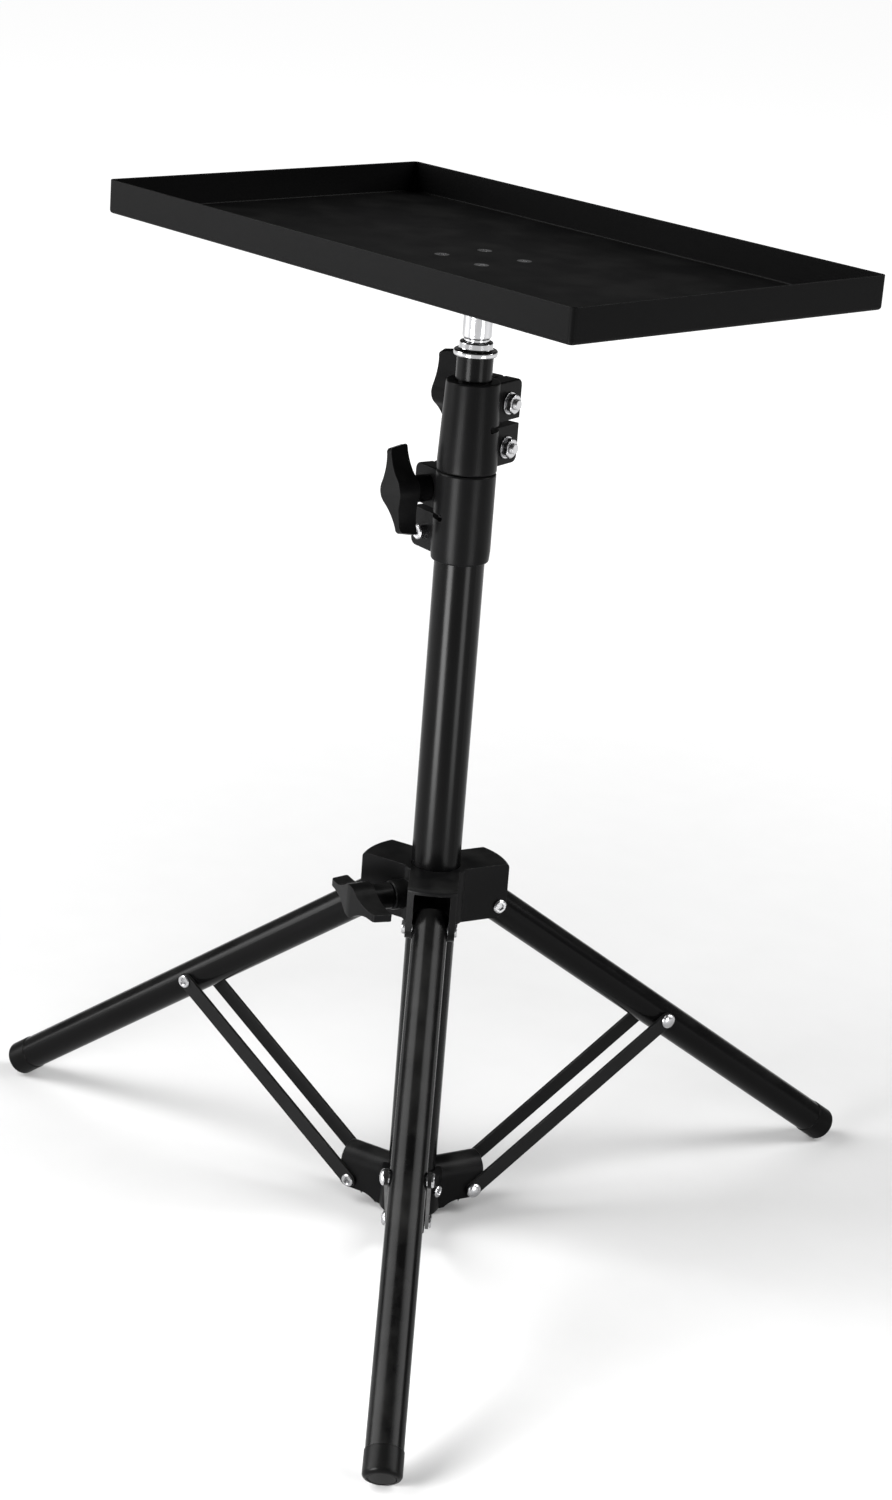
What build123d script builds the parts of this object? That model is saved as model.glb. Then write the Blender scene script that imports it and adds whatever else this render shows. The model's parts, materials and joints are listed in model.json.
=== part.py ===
from build123d import *
import os
from math import cos, degrees, atan2, radians, sin

# A light stand with three sliding tubes, three folding legs and a shallow tray.
# Millimetres, +Z up. The origin is on the floor under the column's axis, and the tray's long side runs
# along X. Angles about Z are in degrees from +X.

# Column tubes, each one sliding in the next wider one
lower_tube_diameter = 28.0
tube_wall = 1.5
tube_gap = 0.5
lower_tube_bottom = 7.4
tube_bottom_step = 6.0
upper_tube_top = 516.5
upper_tube_show = 13.5
clamp_height = 50.0
clamp_gap = 0.4

# Split clamps at the tops of the lower and middle tubes
clamp_radius = 16.5
clamp_foot_radius = 16.0
clamp_foot_height = 6.0
upper_clamp_top_radius = 14.8
clamp_slide_clearance = 0.3
ear_reach = 33.0
ear_half_width = 10.5
ear_split = 3.0
ear_margin = 1.5
ear_corner_radius = 4.0
clamp_slit_height = 3.2
clamp_slit_start = -1.0
slit_relief_radius = 2.0
clamp_bolt_reach = 21.0
clamp_bolt_height = 11.6
clamp_stud_height = 36.2
lower_ear_angle = 173.3
upper_ear_angle = 103.0

# Screws, nuts and rivets
bolt_radius = 3.0
bolt_head_radius = 4.2
bolt_head_height = 5.0
bolt_end = 2.0
nut_across_flats = 10.0
nut_height = 4.5
rivet_radius = 3.0
rivet_head_radius = 4.5
rivet_head_height = 2.4
rivet_head_slope = 1.5
rivet_head_flat = 0.9
rivet_tail_radius = 3.8
rivet_tail_height = 1.2
rivet_dimple_radius = 1.8
rivet_dimple_depth = 2.0
seat_clearance = 0.05
side_clearance = 0.3

# Wing knobs
knob_half_span = 25.5
collar_knob_half_span = 29.0
knob_hub_radius = 9.6
knob_neck_radius = 7.5
knob_flare_radius = 9.0
knob_tip_half_width = 2.2
knob_tip_depth = 11.0
knob_tip_slant = 2.0
knob_tip_radius = 1.5
knob_crown = 2.4
knob_crown_half_width = 2.0
knob_sleeve_clearance = 5.1
knob_stud_depth = 8.0
lower_knob_tilt = 17.5
upper_knob_tilt = -15.0
collar_knob_tilt = 88.0

# Folding legs: equal arms above and below the brace joint let the collar slide straight up and down
front_leg_angle = -44.0
leg_spacing = 120.0
pivot_radius = 36.0
hub_pivot_height = 14.0
brace_length = 155.6
open_leg_angle = 53.9
leg_diameter = 20.0
leg_wall = 1.2
leg_top_overhang = 7.0
foot_length = 15.0
foot_flare = 0.4
foot_rim_radius = 2.5
foot_stem_length = 18.0
brace_width = 9.0
brace_thickness = 2.0
brace_gap = 0.5

# Sliding collar that carries the tops of the legs
collar_barrel_radius = 18.5
collar_slide_clearance = 0.3
collar_above_pivot = 25.6
lug_wall = 3.7
lug_roof = 3.5
lug_toe_radius = 7.0
lug_nose_radius = 2.5
collar_boss_radius = 8.5
collar_boss_reach = 28.0
collar_knob_wing_start = 41.0
collar_screw_head_radius = 4.0
collar_screw_head_height = 2.0
collar_screw_socket = 4.0
collar_screw_socket_depth = 1.4

# Hub at the foot of the column
hub_barrel_radius = 18.0
hub_bottom = 4.4
hub_top = 31.0
hub_edge_radius = 2.0
hub_arm_end = 7.5
hub_arm_wall = 3.2
hub_arm_bottom = 8.0
hub_arm_crown = 33.5
hub_arm_roof_underside = 25.0
hub_scallop_start = 28.0
hub_toe_radius = 4.5
hub_screw_height = 20.0
hub_screw_radius = 2.0
hub_screw_head_radius = 3.6
hub_screw_head_height = 1.8

# Chrome stud on top of the column
ring_radius = 12.0
ring_height = 3.4
ring_edge = 1.2
stud_base_radius = 9.2
stud_base_height = 4.5
stud_radius = 8.0
stud_groove_radius = 7.0
stud_groove_height = 2.0
stud_height = 29.0
stud_chamfer = 1.0
stud_stem_length = 25.0
stud_thread_radius = 3.175
stud_thread_length = 10.0

# Tray
tray_length = 365.0
tray_width = 225.0
tray_height = 18.4
tray_sheet = 1.2
tray_bend_radius = 2.0
tray_corner_radius = 3.0
flange_radius = 30.0
flange_thickness = 3.0
flange_boss_radius = 13.0
flange_boss_height = 11.2
tray_screw_circle = 44.0
tray_screw_count = 4
tray_screw_radius = 2.0
tray_screw_head_radius = 4.0
tray_screw_head_depth = 2.0

# Worked out from the values above
lower_tube_radius = lower_tube_diameter / 2
middle_tube_radius = lower_tube_radius - tube_wall - tube_gap
upper_tube_radius = middle_tube_radius - tube_wall - tube_gap
middle_tube_bottom = lower_tube_bottom + tube_bottom_step
upper_tube_bottom = middle_tube_bottom + tube_bottom_step
upper_clamp_bottom = upper_tube_top - upper_tube_show - clamp_height
lower_clamp_bottom = upper_clamp_bottom - clamp_gap - clamp_height
knob_wing_start = clamp_radius + knob_sleeve_clearance
leg_radius = leg_diameter / 2
lean = radians(open_leg_angle)
collar_pivot_height = hub_pivot_height + 2 * brace_length * cos(lean)
foot_radius = leg_radius + foot_flare
foot_rim_ring = foot_radius - foot_rim_radius
foot_drop = collar_pivot_height - foot_rim_radius - foot_rim_ring * sin(lean)
leg_length = foot_rim_radius + foot_drop / cos(lean)
brace_pivot = (pivot_radius + brace_length * sin(lean), hub_pivot_height + brace_length * cos(lean))
brace_inner_face = leg_radius + brace_gap
brace_outer_face = brace_inner_face + brace_thickness
hub_arm_half_width = brace_inner_face - side_clearance
hub_arm_reach = pivot_radius + hub_arm_end
hub_arm_side_top = hub_arm_crown - hub_arm_half_width
lug_half_width = leg_radius + side_clearance + lug_wall
lug_reach = pivot_radius + lug_toe_radius
collar_top = collar_pivot_height + collar_above_pivot
collar_bottom = collar_pivot_height - lug_toe_radius
collar_knob_height = (collar_top + collar_bottom) / 2
stud_bottom = upper_tube_top + ring_height + stud_base_height
stud_top = stud_bottom + stud_height
tray_bottom = stud_top + side_clearance + flange_boss_height + flange_thickness
tray_mitre_depth = 2 * tray_corner_radius
leg_angles = {
    "front": front_leg_angle,
    "right": front_leg_angle + leg_spacing,
    "left": front_leg_angle - leg_spacing,
}
on_base = (Align.CENTER, Align.CENTER, Align.MIN)


def turned(angle, shape):
    return Rot(0, 0, angle) * shape


def upright(radius, bottom, top):
    return Pos(0, 0, bottom) * Cylinder(radius, top - bottom, align=on_base)


def crosswise(radius, start, end, x=0.0, z=0.0):
    # A round bar along Y
    return Pos(x, 0, z) * Rot(-90, 0, 0) * upright(radius, start, end)


def tube(radius, wall, bottom, top):
    return upright(radius, bottom, top) - upright(radius - wall, bottom, top)


def block(x_range, y_range, z_range):
    size = [high - low for low, high in (x_range, y_range, z_range)]
    corner = Pos(x_range[0], y_range[0], z_range[0])
    return corner * Box(*size, align=(Align.MIN, Align.MIN, Align.MIN))


def hex_nut(near_face, x, z):
    # A nut on Y whose bore clears the bolt
    outline = RegularPolygon(nut_across_flats / 2, 6, major_radius=False)
    nut = extrude(outline, nut_height) - upright(bolt_radius + seat_clearance, 0, nut_height)
    return Pos(x, near_face, z) * Rot(90, 0, 0) * nut


def rivet(half_grip, x, z):
    # Bevelled head towards -Y and a hollow turned-over tail towards +Y
    reach = half_grip + side_clearance
    head = upright(rivet_head_radius, 0, rivet_head_height)
    head = chamfer(head.edges().group_by(Axis.Z)[-1], rivet_head_slope, rivet_head_flat)
    tail_end = reach + rivet_tail_height
    shape = crosswise(rivet_radius, -reach, reach)
    shape += Pos(0, -reach, 0) * Rot(90, 0, 0) * head
    shape += crosswise(rivet_tail_radius, reach, tail_end)
    shape -= crosswise(rivet_dimple_radius, tail_end - rivet_dimple_depth, tail_end)
    return Pos(x, 0, z) * shape


# Column tubes
def lower_tube():
    straight = tube(lower_tube_radius, tube_wall, lower_tube_bottom, lower_clamp_bottom + clamp_height / 2)
    return straight - hub_screw_hole()


def middle_tube():
    return tube(middle_tube_radius, tube_wall, middle_tube_bottom, upper_clamp_bottom + clamp_height / 2)


def upper_tube():
    return tube(upper_tube_radius, tube_wall, upper_tube_bottom, upper_tube_top)


# Split clamp, with its ears along X and its wing knob towards +Y
def clamp(outer_radius, inner_radius, foot_radius_here, top_radius):
    middle = clamp_height / 2
    outline = Polyline(
        (0, 0),
        (foot_radius_here, 0),
        (clamp_radius, clamp_foot_height),
        (top_radius, clamp_height),
        (0, clamp_height),
        close=True,
    )
    body = revolve(make_face(Plane.XZ * outline), Axis.Z)
    ear_height = clamp_height - 2 * ear_margin
    ear_face = Pos(ear_reach / 2, middle) * Rectangle(ear_reach, ear_height)
    ear_face = fillet(ear_face.vertices().group_by(Axis.X)[-1], ear_corner_radius)
    body += extrude(Plane.XZ * ear_face, ear_half_width, both=True)
    body -= upright(outer_radius + seat_clearance, 0, middle)
    body -= upright(inner_radius + clamp_slide_clearance, middle, clamp_height)
    body -= block((0, ear_reach), (-ear_split / 2, ear_split / 2), (0, clamp_height))
    slit = (middle - clamp_slit_height / 2, middle + clamp_slit_height / 2)
    body -= block((clamp_slit_start, ear_reach), (-clamp_radius, clamp_radius), slit)
    body -= crosswise(slit_relief_radius, -clamp_radius, clamp_radius, clamp_slit_start, middle)
    for height in (clamp_bolt_height, clamp_stud_height):
        hole_radius = bolt_radius + seat_clearance
        body -= crosswise(hole_radius, -ear_half_width, ear_half_width, clamp_bolt_reach, height)
    return body


def clamp_bolt():
    end = -ear_half_width - nut_height - bolt_end
    bolt = crosswise(bolt_radius, end, ear_half_width, clamp_bolt_reach, clamp_bolt_height)
    head_end = ear_half_width + bolt_head_height
    return bolt + crosswise(bolt_head_radius, ear_half_width, head_end, clamp_bolt_reach, clamp_bolt_height)


def clamp_nuts():
    heights = (clamp_bolt_height, clamp_stud_height)
    return Compound(children=[hex_nut(-ear_half_width, clamp_bolt_reach, height) for height in heights])


def placed_clamp(bottom, angle, shape):
    return Pos(0, 0, bottom) * Rot(0, 0, angle) * shape


# Wing knob on the Y axis, its wings along X before they are tilted
def wing_knob(half_span, neck_start, wing_start):
    tips = wing_start + knob_tip_depth
    crown = tips + knob_crown
    half_outline = [
        (half_span, wing_start),
        (half_span - knob_tip_slant, tips),
        (knob_crown_half_width, crown),
    ]
    other_half = [(-x, y) for x, y in reversed(half_outline)]
    outline = make_face(Polyline(*half_outline, *other_half, close=True))
    end_corners = outline.vertices().sort_by(Axis.X)
    outline = fillet(end_corners[:2] + end_corners[-2:], knob_tip_radius)
    side_view = extrude(outline, knob_hub_radius, both=True)
    plan = Rectangle(2 * half_span, 2 * knob_tip_half_width) + Circle(knob_hub_radius)
    wing_roots = [corner for corner in plan.vertices() if abs(corner.X) < half_span / 2]
    plan = fillet(wing_roots, knob_flare_radius)
    wings = side_view & extrude(Plane.XZ * plan, -crown)
    knob = wings + crosswise(knob_neck_radius, neck_start, wing_start)
    stud_hole_end = wing_start + knob_stud_depth
    return knob - crosswise(bolt_radius + seat_clearance, neck_start, stud_hole_end)


def knob_stud(start, wing_start):
    return crosswise(bolt_radius, start, wing_start + knob_stud_depth - seat_clearance)


def clamp_knob_place(bottom, angle, tilt, shape):
    at_ear = Pos(clamp_bolt_reach, 0, clamp_stud_height) * Rot(0, tilt - 90, 0) * shape
    return placed_clamp(bottom, angle, at_ear)


def collar_knob_place(shape):
    between_legs = front_leg_angle - leg_spacing / 2
    tilted = Pos(0, 0, collar_knob_height) * Rot(0, collar_knob_tilt - 90, 0) * shape
    return turned(between_legs - 90, tilted)


def collar_knob():
    neck_start = collar_boss_reach + side_clearance
    return collar_knob_place(wing_knob(collar_knob_half_span, neck_start, collar_knob_wing_start))


def collar_knob_stud():
    return collar_knob_place(knob_stud(lower_tube_radius + side_clearance, collar_knob_wing_start))


# Legs, drawn along +X
def leg_axis_plane():
    collar_pivot = (pivot_radius, 0, collar_pivot_height)
    return Plane(origin=collar_pivot, x_dir=(0, 1, 0), z_dir=(sin(lean), 0, -cos(lean)))


def pivot_hole(half_width, x, z):
    return crosswise(rivet_radius + seat_clearance, -half_width, half_width, x, z)


def leg_tube():
    straight = tube(leg_radius, leg_wall, -leg_top_overhang, leg_length - foot_length)
    body = leg_axis_plane().location * straight
    body -= pivot_hole(leg_radius, pivot_radius, collar_pivot_height)
    return body - pivot_hole(leg_radius, *brace_pivot)


def foot_cap():
    tube_end = leg_length - foot_length
    cap = upright(foot_radius, tube_end, leg_length)
    cap = fillet(cap.edges().group_by(Axis.Z)[-1], foot_rim_radius)
    stem = upright(leg_radius - leg_wall - seat_clearance, tube_end - foot_stem_length, tube_end)
    return leg_axis_plane().location * (cap + stem)


def leg_rivet():
    return rivet(brace_outer_face, *brace_pivot)


def brace_bar(side):
    rise = brace_pivot[1] - hub_pivot_height
    run = brace_pivot[0] - pivot_radius
    middle = (pivot_radius + run / 2, hub_pivot_height + rise / 2)
    slope = degrees(atan2(rise, run))
    outline = Pos(*middle) * Rot(0, 0, slope) * SlotCenterToCenter(brace_length, brace_width)
    hole = Circle(rivet_radius + seat_clearance)
    outline -= Pos(pivot_radius, hub_pivot_height) * hole
    outline -= Pos(*brace_pivot) * hole
    bar = extrude(Plane.XZ * outline, brace_thickness / 2, both=True)
    return Pos(0, side * (brace_inner_face + brace_thickness / 2), 0) * bar


# Collar with three hollow lugs, open outwards and downwards
def leg_lug():
    outline = Pos(lug_reach / 2, collar_knob_height) * Rectangle(lug_reach, collar_top - collar_bottom)
    toe = outline.vertices().group_by(Axis.X)[-1].sort_by(Axis.Y)[0]
    outline = fillet(toe, lug_toe_radius)
    nose = outline.vertices().group_by(Axis.Y)[-1].sort_by(Axis.X)[-1]
    outline = fillet(nose, lug_nose_radius)
    round_ended = revolve(Plane.XZ * outline, Axis.Z)
    return round_ended & block((0, lug_reach), (-lug_half_width, lug_half_width), (collar_bottom, collar_top))


def lug_pocket():
    half = leg_radius + side_clearance
    return block((0, lug_reach), (-half, half), (collar_bottom, collar_top - lug_roof))


def leg_collar():
    barrel = upright(collar_barrel_radius, collar_bottom, collar_top)
    body = barrel
    for angle in leg_angles.values():
        body += turned(angle, leg_lug())
    for angle in leg_angles.values():
        body -= turned(angle, lug_pocket()) - barrel
        body -= turned(angle, pivot_hole(lug_half_width, pivot_radius, collar_pivot_height))
    body += collar_knob_place(crosswise(collar_boss_radius, 0, collar_boss_reach))
    body -= collar_knob_place(crosswise(bolt_radius + seat_clearance, 0, collar_boss_reach))
    return body - upright(lower_tube_radius + collar_slide_clearance, collar_bottom, collar_top)


def collar_screw():
    head = upright(collar_screw_head_radius, 0, collar_screw_head_height)
    hexagon = RegularPolygon(collar_screw_socket / 2, 6, major_radius=False)
    socket = extrude(hexagon, collar_screw_socket_depth)
    head -= Pos(0, 0, collar_screw_head_height - collar_screw_socket_depth) * socket
    screw = crosswise(rivet_radius, -lug_half_width, lug_half_width)
    screw += Pos(0, -lug_half_width, 0) * Rot(90, 0, 0) * head
    screw += crosswise(rivet_tail_radius, lug_half_width, lug_half_width + rivet_tail_height)
    return Pos(pivot_radius, 0, collar_pivot_height) * screw


# Hub with three arms of inverted-U section
def hub_arm():
    edge = hub_arm_half_width
    profile = Polyline(
        (hub_scallop_start, hub_arm_bottom),
        (hub_arm_reach, hub_arm_bottom),
        (hub_arm_reach, hub_arm_crown),
        (0, hub_arm_crown),
        (0, hub_bottom),
        (hub_barrel_radius, hub_bottom),
    )
    scallop = TangentArc(
        (hub_scallop_start, hub_arm_bottom),
        (hub_barrel_radius, hub_bottom),
        tangent=(-1, 0),
    )
    side_face = make_face([profile, scallop])
    toe = side_face.vertices().group_by(Axis.X)[-1].sort_by(Axis.Y)[0]
    side_view = extrude(Plane.XZ * fillet(toe, hub_toe_radius), edge, both=True)
    left_shoulder = (-edge, hub_arm_side_top)
    right_shoulder = (edge, hub_arm_side_top)
    section = Polyline(right_shoulder, (edge, hub_bottom), (-edge, hub_bottom), left_shoulder)
    dome = ThreePointArc(left_shoulder, (0, hub_arm_crown), right_shoulder)
    end_view = extrude(Plane.YZ * make_face([section, dome]), hub_arm_reach)
    pocket_half = edge - hub_arm_wall
    pocket = block((0, hub_arm_reach), (-pocket_half, pocket_half), (hub_bottom, hub_arm_roof_underside))
    return (side_view & end_view) - pocket


def lower_hub():
    body = upright(hub_barrel_radius, hub_bottom, hub_top)
    body = fillet(body.edges().group_by(Axis.Z)[-1], hub_edge_radius)
    for angle in leg_angles.values():
        hole = pivot_hole(hub_arm_half_width, pivot_radius, hub_pivot_height)
        body += turned(angle, hub_arm() - hole)
    body -= upright(lower_tube_radius + seat_clearance, lower_tube_bottom, hub_arm_crown)
    return body - hub_screw_hole()


def hub_screw_place(shape):
    between_legs = front_leg_angle + leg_spacing / 2
    return turned(between_legs - 90, Pos(0, 0, hub_screw_height) * shape)


def hub_screw_hole():
    return hub_screw_place(crosswise(hub_screw_radius + seat_clearance, 0, hub_barrel_radius))


def hub_screw():
    # Holds the lower tube in the hub, and ends inside that tube's wall
    head_end = hub_barrel_radius + hub_screw_head_height
    shape = crosswise(hub_screw_radius, lower_tube_radius - tube_wall + seat_clearance, hub_barrel_radius)
    shape += crosswise(hub_screw_head_radius, hub_barrel_radius, head_end)
    shape -= crosswise(rivet_dimple_radius, head_end - rivet_dimple_depth / 2, head_end)
    return hub_screw_place(shape)


def hub_rivet():
    return rivet(brace_outer_face, pivot_radius, hub_pivot_height)


# Chrome ring and stud
def top_ring():
    disc_top = upper_tube_top + ring_height
    ring = upright(ring_radius, upper_tube_top, disc_top)
    ring = chamfer(ring.edges(), ring_edge)
    ring += upright(stud_base_radius, disc_top - ring_edge, stud_bottom)
    return ring - upright(stud_groove_radius + seat_clearance, upper_tube_top, stud_bottom)


def spigot():
    stem_radius = upper_tube_radius - tube_wall - seat_clearance
    stud = upright(stem_radius, upper_tube_top - stud_stem_length, upper_tube_top)
    stud += upright(stud_groove_radius, upper_tube_top, stud_bottom + stud_groove_height)
    post = upright(stud_radius, stud_bottom + stud_groove_height, stud_top)
    stud += chamfer(post.edges().group_by(Axis.Z)[-1], stud_chamfer)
    return stud + upright(stud_thread_radius, stud_top, stud_top + stud_thread_length)


# Tray of one folded sheet: a flat base, and walls that take in the bends and meet in mitres
def tray_screw_places():
    return PolarLocations(tray_screw_circle / 2, tray_screw_count, start_angle=180 / tray_screw_count)


def tray_screw(clearance=0.0):
    # Countersunk, so that its head lies flush with the tray's floor
    floor_top = tray_bottom + tray_sheet
    head_bottom = floor_top - tray_screw_head_depth
    shank_radius = tray_screw_radius + clearance
    head_radius = tray_screw_head_radius + clearance
    head = Cone(shank_radius, head_radius, tray_screw_head_depth, align=on_base)
    shank = upright(shank_radius, tray_bottom - flange_thickness, head_bottom)
    return shank + Pos(0, 0, head_bottom) * head


def flat_base():
    inset = 2 * tray_bend_radius
    floor_corner = tray_corner_radius - tray_bend_radius
    return extrude(RectangleRounded(tray_length - inset, tray_width - inset, floor_corner), tray_sheet)


def tray_base():
    base = Pos(0, 0, tray_bottom) * flat_base()
    for place in tray_screw_places():
        base -= place * tray_screw(seat_clearance)
    return base


def rounded_box(length, width, corner_radius, bend_radius):
    box = Box(length, width, tray_height, align=on_base)
    box = fillet(box.edges().filter_by(Axis.Z), corner_radius)
    return fillet(box.edges().group_by(Axis.Z)[0], bend_radius)


def folded_rim():
    outside = rounded_box(tray_length, tray_width, tray_corner_radius, tray_bend_radius)
    inside = rounded_box(
        tray_length - 2 * tray_sheet,
        tray_width - 2 * tray_sheet,
        tray_corner_radius - tray_sheet,
        tray_bend_radius - tray_sheet,
    )
    return outside - Pos(0, 0, tray_sheet) * inside - flat_base()


def tray_wall(half_run, half_span, angle):
    inner_run = half_run - tray_mitre_depth
    inner_span = half_span - tray_mitre_depth
    outline = Polyline(
        (half_run, half_span),
        (inner_run, inner_span),
        (-inner_run, inner_span),
        (-half_run, half_span),
        close=True,
    )
    between_mitres = turned(angle, extrude(make_face(outline), tray_height))
    return Pos(0, 0, tray_bottom) * (folded_rim() & between_mitres)


def tray_long_walls():
    return Compound(children=[tray_wall(tray_length / 2, tray_width / 2, angle) for angle in (0, 180)])


def tray_short_walls():
    return Compound(children=[tray_wall(tray_width / 2, tray_length / 2, angle) for angle in (90, 270)])


def tray_flange():
    plate_bottom = tray_bottom - flange_thickness
    boss_bottom = plate_bottom - flange_boss_height
    flange = upright(flange_radius, plate_bottom, tray_bottom)
    flange += upright(flange_boss_radius, boss_bottom, plate_bottom)
    for place in tray_screw_places():
        flange -= place * tray_screw(seat_clearance)
    return flange - upright(stud_thread_radius + seat_clearance, boss_bottom, tray_bottom)


def tray_screws():
    return Compound(children=[place * tray_screw() for place in tray_screw_places()])


pieces = {
    "lower_tube": lower_tube(),
    "lower_hub": lower_hub(),
    "hub_screw": hub_screw(),
    "middle_tube": middle_tube(),
    "upper_tube": upper_tube(),
    "top_ring": top_ring(),
    "spigot": spigot(),
    "leg_collar": leg_collar(),
    "collar_knob": collar_knob(),
    "collar_knob_stud": collar_knob_stud(),
    "tray_base": tray_base(),
    "tray_long_walls": tray_long_walls(),
    "tray_short_walls": tray_short_walls(),
    "tray_flange": tray_flange(),
    "tray_screws": tray_screws(),
}

clamps = {
    "lower": (lower_clamp_bottom, lower_ear_angle, lower_knob_tilt),
    "upper": (upper_clamp_bottom, upper_ear_angle, upper_knob_tilt),
}
clamp_bodies = {
    "lower": clamp(lower_tube_radius, middle_tube_radius, clamp_foot_radius, clamp_radius),
    "upper": clamp(middle_tube_radius, upper_tube_radius, clamp_radius, upper_clamp_top_radius),
}
clamp_stud_start = -ear_half_width - nut_height - bolt_end
for name, (bottom, angle, tilt) in clamps.items():
    knob = wing_knob(knob_half_span, ear_half_width + side_clearance, knob_wing_start)
    stud = knob_stud(clamp_stud_start, knob_wing_start)
    pieces[f"{name}_clamp"] = placed_clamp(bottom, angle, clamp_bodies[name])
    pieces[f"{name}_clamp_bolt"] = placed_clamp(bottom, angle, clamp_bolt())
    pieces[f"{name}_clamp_nuts"] = placed_clamp(bottom, angle, clamp_nuts())
    pieces[f"{name}_clamp_knob"] = clamp_knob_place(bottom, angle, tilt, knob)
    pieces[f"{name}_clamp_stud"] = clamp_knob_place(bottom, angle, tilt, stud)

for name, angle in leg_angles.items():
    pieces[f"leg_tube_{name}"] = turned(angle, leg_tube())
    pieces[f"foot_cap_{name}"] = turned(angle, foot_cap())
    pieces[f"leg_rivet_{name}"] = turned(angle, leg_rivet())
    pieces[f"brace_{name}_a"] = turned(angle, brace_bar(-1))
    pieces[f"brace_{name}_b"] = turned(angle, brace_bar(1))
    pieces[f"collar_screw_{name}"] = turned(angle, collar_screw())
    pieces[f"hub_rivet_{name}"] = turned(angle, hub_rivet())

os.makedirs("parts", exist_ok=True)
for name, shape in pieces.items():
    export_step(shape, f"parts/{name}.step")
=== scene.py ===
import bmesh
import bpy
import json
import math
from mathutils import Matrix, Vector


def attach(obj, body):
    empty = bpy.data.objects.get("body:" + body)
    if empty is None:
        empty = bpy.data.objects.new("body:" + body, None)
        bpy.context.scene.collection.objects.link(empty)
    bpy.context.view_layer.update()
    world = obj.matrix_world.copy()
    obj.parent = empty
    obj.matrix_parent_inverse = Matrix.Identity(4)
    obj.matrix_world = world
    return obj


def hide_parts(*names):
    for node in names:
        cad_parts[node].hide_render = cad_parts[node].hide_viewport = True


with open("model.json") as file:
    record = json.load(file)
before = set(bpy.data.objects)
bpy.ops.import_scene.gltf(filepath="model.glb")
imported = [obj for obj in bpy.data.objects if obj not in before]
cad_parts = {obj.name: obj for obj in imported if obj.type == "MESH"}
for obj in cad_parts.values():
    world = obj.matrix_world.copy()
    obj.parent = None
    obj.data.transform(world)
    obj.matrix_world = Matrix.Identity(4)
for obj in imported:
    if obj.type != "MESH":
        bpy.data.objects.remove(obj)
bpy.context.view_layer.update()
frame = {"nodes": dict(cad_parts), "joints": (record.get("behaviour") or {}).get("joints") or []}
nodes = frame["nodes"]
joints = {joint["name"]: joint for joint in frame["joints"]}
mm = 0.001
over = 2 * mm  # how far a cutter runs past the piece that it cuts
sameSpot = 0.02 * mm
weldGap = 0.001 * mm
mostly = 0.9  # share of a direction that counts as lying along an axis
facets = {"hex": 6, "relief": 24, "hole": 32, "pin": 48, "boss": 64, "foot": 72, "barrel": 96, "lug": 120}
print("stand: frame loaded with", len(nodes), "nodes")


# small helpers for working in edit mode
def clearSelection():
    if bpy.context.object and bpy.context.object.mode != "OBJECT":
        bpy.ops.object.mode_set(mode="OBJECT")
    bpy.ops.object.select_all(action="DESELECT")


def only(piece):
    clearSelection()
    piece.select_set(True)
    bpy.context.view_layer.objects.active = piece


def fresh(name):
    piece = bpy.context.object
    piece.name = name
    piece.data.name = name
    return piece


def discard(piece):
    bpy.data.objects.remove(piece, do_unlink=True)


def startEdit(piece):
    only(piece)
    bpy.ops.object.mode_set(mode="EDIT")


def endEdit():
    bpy.ops.object.mode_set(mode="OBJECT")


def pick(piece, kind, wanted):
    # selects the faces, edges or points that fit
    bpy.ops.mesh.select_mode(type=kind)
    bpy.ops.mesh.select_all(action="DESELECT")
    mesh = bmesh.from_edit_mesh(piece.data)
    mesh.normal_update()
    for part in {"FACE": mesh.faces, "EDGE": mesh.edges, "VERT": mesh.verts}[kind]:
        if wanted(part):
            part.select_set(True)
    bmesh.update_edit_mesh(piece.data)


def middle(edge):
    return (edge.verts[0].co + edge.verts[1].co) / 2


def runsAlong(edge, axis):
    way = edge.verts[1].co - edge.verts[0].co
    return abs(way[axis]) > mostly * way.length


def close(a, b):
    return abs(a - b) < sameSpot


def roundEdges(piece, wanted, radius, steps):
    # rounds only the edges that fit
    startEdit(piece)
    pick(piece, "EDGE", wanted)
    bpy.ops.mesh.bevel(offset=radius, segments=steps, affect="EDGES")
    endEdit()


def tidyMesh(piece):
    startEdit(piece)
    bpy.ops.mesh.select_all(action="SELECT")
    bpy.ops.mesh.remove_doubles(threshold=weldGap)
    bpy.ops.mesh.normals_make_consistent(inside=False)
    endEdit()


def addBlock(name, low, high):
    low, high = Vector(low), Vector(high)
    clearSelection()
    bpy.ops.mesh.primitive_cube_add(size=1, location=(low + high) / 2, scale=high - low)
    bpy.ops.object.transform_apply(location=True, rotation=True, scale=True)
    return fresh(name)


def addRod(name, radius, start, end, sides):
    start, end = Vector(start), Vector(end)
    turn = Vector((0, 0, 1)).rotation_difference(end - start).to_euler()
    clearSelection()
    bpy.ops.mesh.primitive_cylinder_add(vertices=sides, radius=radius, depth=(end - start).length,
                                        location=(start + end) / 2, rotation=turn)
    bpy.ops.object.transform_apply(location=True, rotation=True, scale=True)
    return fresh(name)


def drawLine(name, steps):
    # one point drawn from place to place on the XZ plane, left in edit mode
    clearSelection()
    bpy.ops.mesh.primitive_plane_add(size=mm)
    piece = fresh(name)
    startEdit(piece)
    bpy.ops.mesh.select_mode(type="VERT")
    bpy.ops.mesh.select_all(action="SELECT")
    bpy.ops.mesh.merge(type="CENTER")
    points = [Vector((across, 0, height)) for across, height in steps]
    bpy.ops.transform.translate(value=points[0])
    for here, there in zip(points, points[1:]):
        bpy.ops.mesh.extrude_vertices_move(TRANSFORM_OT_translate={"value": there - here})
    bpy.ops.mesh.select_all(action="SELECT")
    return piece


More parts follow.
